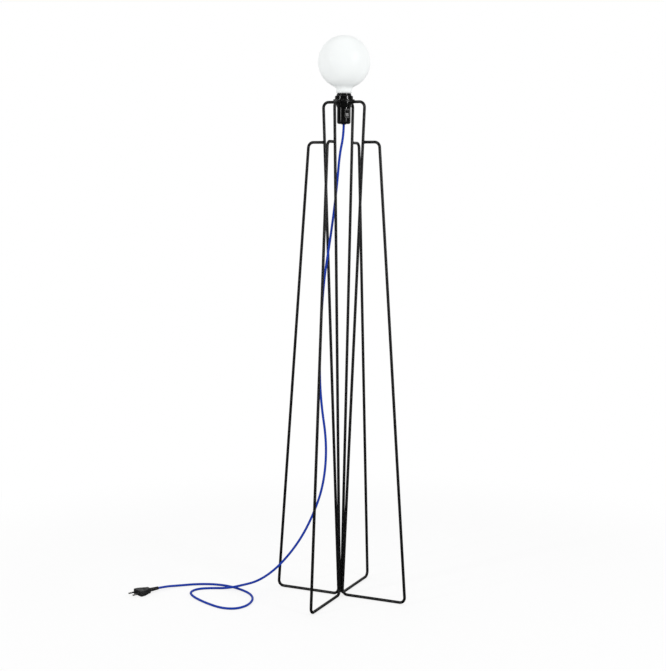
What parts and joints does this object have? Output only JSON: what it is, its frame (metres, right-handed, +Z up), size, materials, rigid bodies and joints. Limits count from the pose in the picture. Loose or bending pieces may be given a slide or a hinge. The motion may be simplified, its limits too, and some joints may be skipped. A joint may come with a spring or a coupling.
{
  "type": "floor lamp",
  "caption": "Floor lamp of bent black wire wings in a cross, with a rocker-switched screw lampholder, an opal globe bulb and a blue textile cord with its plug.",
  "frame": {"origin": "on the floor, in the middle between the four wings", "axes": "+Z up, +X along the right wing, +Y along the back wing"},
  "size_m": [0.6464, 0.4158, 1.3685],
  "materials": {
    "wire": "satin black powder coat",
    "holder": "semi-gloss black moulding",
    "switch": "semi-gloss black moulding",
    "steel": "plain steel",
    "contact": "plain brass",
    "ceramic": "glazed white",
    "lead": "plain insulation",
    "opal_glass": "opal, even and white",
    "bulb_metal": "plain sheet metal",
    "insulator": "dark glass",
    "clear_glass": "clear",
    "filament": "bare wire",
    "cord": "woven blue cotton sleeve",
    "plug": "matt black moulding",
    "plug_pin": "nickel plated"
  },
  "bodies": {
    "lamp": {"wing_right": "wire", "wing_left": "wire", "wing_front": "wire", "wing_back": "wire", "base_weld": "wire", "carrier_ring": "wire", "shade_ring_upper": "holder", "shade_ring_lower": "holder", "holder_sleeve": "holder", "holder_cap": "holder", "cord_grip": "holder", "switch_frame": "switch", "rocker_pin": "steel", "terminal_screws": "steel", "screw_shell": "contact", "centre_contact": "contact", "terminal_blocks": "contact", "contact_block": "ceramic", "inner_leads": "lead", "cord": "cord", "plug_body": "plug", "plug_relief": "plug", "plug_pins": "plug_pin"},
    "rocker": {"switch_rocker": "switch"},
    "bulb_foot": {"bulb_insulator": "insulator", "bulb_contact": "contact"},
    "bulb": {"bulb_cap": "bulb_metal", "bulb_globe": "opal_glass", "bulb_stem": "clear_glass", "bulb_filament": "filament"}
  },
  "joints": [
    {"name": "switch_toggle", "type": "hinge", "parent": "lamp", "child": "rocker", "pos_m": [0.01149, -0.00964, 1.18425], "axis": [0.6428, 0.766, 0], "range_deg": [0, 15]},
    {"name": "bulb_lift", "type": "slide", "parent": "lamp", "child": "bulb_foot", "axis": [0, 0, 1], "range_m": [0, 0.01815]},
    {"name": "bulb_turn", "type": "hinge", "parent": "bulb_foot", "child": "bulb", "pos_m": [0, 0, 1.2155], "axis": [0, 0, 1], "range_deg": [0, 1800]}
  ],
  "couplings": [
    {"joint": "bulb_lift", "follows": "bulb_turn", "m_per_rad": 0.00057757}
  ]
}
